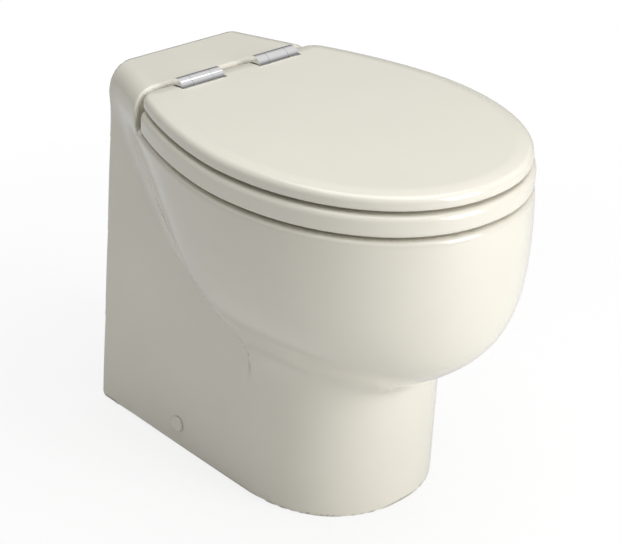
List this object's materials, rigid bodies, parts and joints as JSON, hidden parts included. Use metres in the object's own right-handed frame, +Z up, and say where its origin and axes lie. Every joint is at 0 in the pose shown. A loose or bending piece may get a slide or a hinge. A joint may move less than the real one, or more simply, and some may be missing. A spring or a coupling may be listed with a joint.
{
  "type": "electric marine toilet",
  "caption": "Floor-standing china marine toilet with full skirt, hinged seat and lid, and an electric macerator pump in its open back.",
  "frame": {"origin": "on the floor at the middle of the overall box", "axes": "+Z up, the bowl's front faces -Y and the open back faces +Y, X across the bowl"},
  "size_m": [0.3673, 0.4922, 0.438],
  "materials": {
    "china": "gloss",
    "seat_lacquer": "gloss",
    "bumper_rubber": "matt",
    "chrome": "polished",
    "steel": "satin",
    "nylon": "satin",
    "cap_plastic": "gloss",
    "black_rubber": "matt",
    "pump_plastic": "moulded",
    "motor_paint": "satin paint",
    "magnet": "matt",
    "laminations": "satin",
    "copper": "bright",
    "brass": "bright",
    "hose_rubber": "satin",
    "box_plastic": "satin",
    "board": "satin"
  },
  "bodies": {
    "base": {"china_body": "china", "hinge_posts": "chrome", "hinge_pins": "steel", "hinge_studs": "steel", "hinge_washers": "steel", "hinge_wing_nuts": "nylon", "service_bracket": "steel", "side_caps": "cap_plastic", "side_screws": "steel", "floor_brackets": "steel", "outlet_sleeve": "black_rubber", "sleeve_clamps": "steel", "pump_casing": "pump_plastic", "pump_back_plate": "pump_plastic", "cutter_plate": "steel", "shaft_seal": "black_rubber", "casing_screws": "steel", "motor_can": "motor_paint", "motor_end_cap": "motor_paint", "front_bearing": "steel", "rear_bearing": "steel", "motor_magnets": "magnet", "brush_ring": "pump_plastic", "carbon_brushes": "magnet", "through_bolts": "steel", "motor_cradle": "steel", "cradle_feet": "black_rubber", "valve_body": "pump_plastic", "valve_cover": "pump_plastic", "flap_pin": "steel", "discharge_spigot": "pump_plastic", "spigot_screws": "steel", "water_valve_body": "nylon", "plunger_guide": "brass", "solenoid_coil": "pump_plastic", "plunger_spring": "steel", "rinse_nozzle": "nylon", "rinse_hose": "hose_rubber", "control_box": "box_plastic", "box_cover": "box_plastic", "cover_screws": "steel", "circuit_board": "board", "cable_gland": "pump_plastic"},
    "seat": {"seat_ring": "seat_lacquer", "seat_bumpers": "bumper_rubber", "seat_hinge_leaves": "chrome", "seat_leaf_screws": "steel"},
    "lid": {"lid_panel": "seat_lacquer", "lid_bumpers": "bumper_rubber", "lid_hinge_leaves": "chrome", "lid_leaf_screws": "steel"},
    "rotor": {"motor_shaft": "steel", "impeller": "pump_plastic", "macerator_blade": "steel", "blade_nut": "steel", "armature": "laminations", "commutator": "copper"},
    "plunger": {"plunger": "steel"},
    "flap": {"valve_flap": "black_rubber"}
  },
  "joints": [
    {"name": "seat_hinge", "type": "hinge", "parent": "base", "child": "seat", "pos_m": [0, 0.1466, 0.4265], "axis": [1, 0, 0], "range_deg": [-96, 0]},
    {"name": "lid_hinge", "type": "hinge", "parent": "seat", "child": "lid", "pos_m": [0, 0.1466, 0.4265], "axis": [-1, 0, 0], "range_deg": [0, 102]},
    {"name": "pump_spin", "type": "hinge", "parent": "base", "child": "rotor", "pos_m": [0, 0.142, 0.1], "axis": [0, 1, 0], "continuous": true},
    {"name": "plunger_slide", "type": "slide", "parent": "base", "child": "plunger", "axis": [0, 0, 1], "range_m": [0, 0.003], "stiffness_N_per_m": 400, "springref_m": -0.002, "deforming": ["plunger_spring"]},
    {"name": "flap_hinge", "type": "hinge", "parent": "base", "child": "flap", "pos_m": [0.03, 0.112, 0.1815], "axis": [1, 0, 0], "range_deg": [0, 60]}
  ]
}
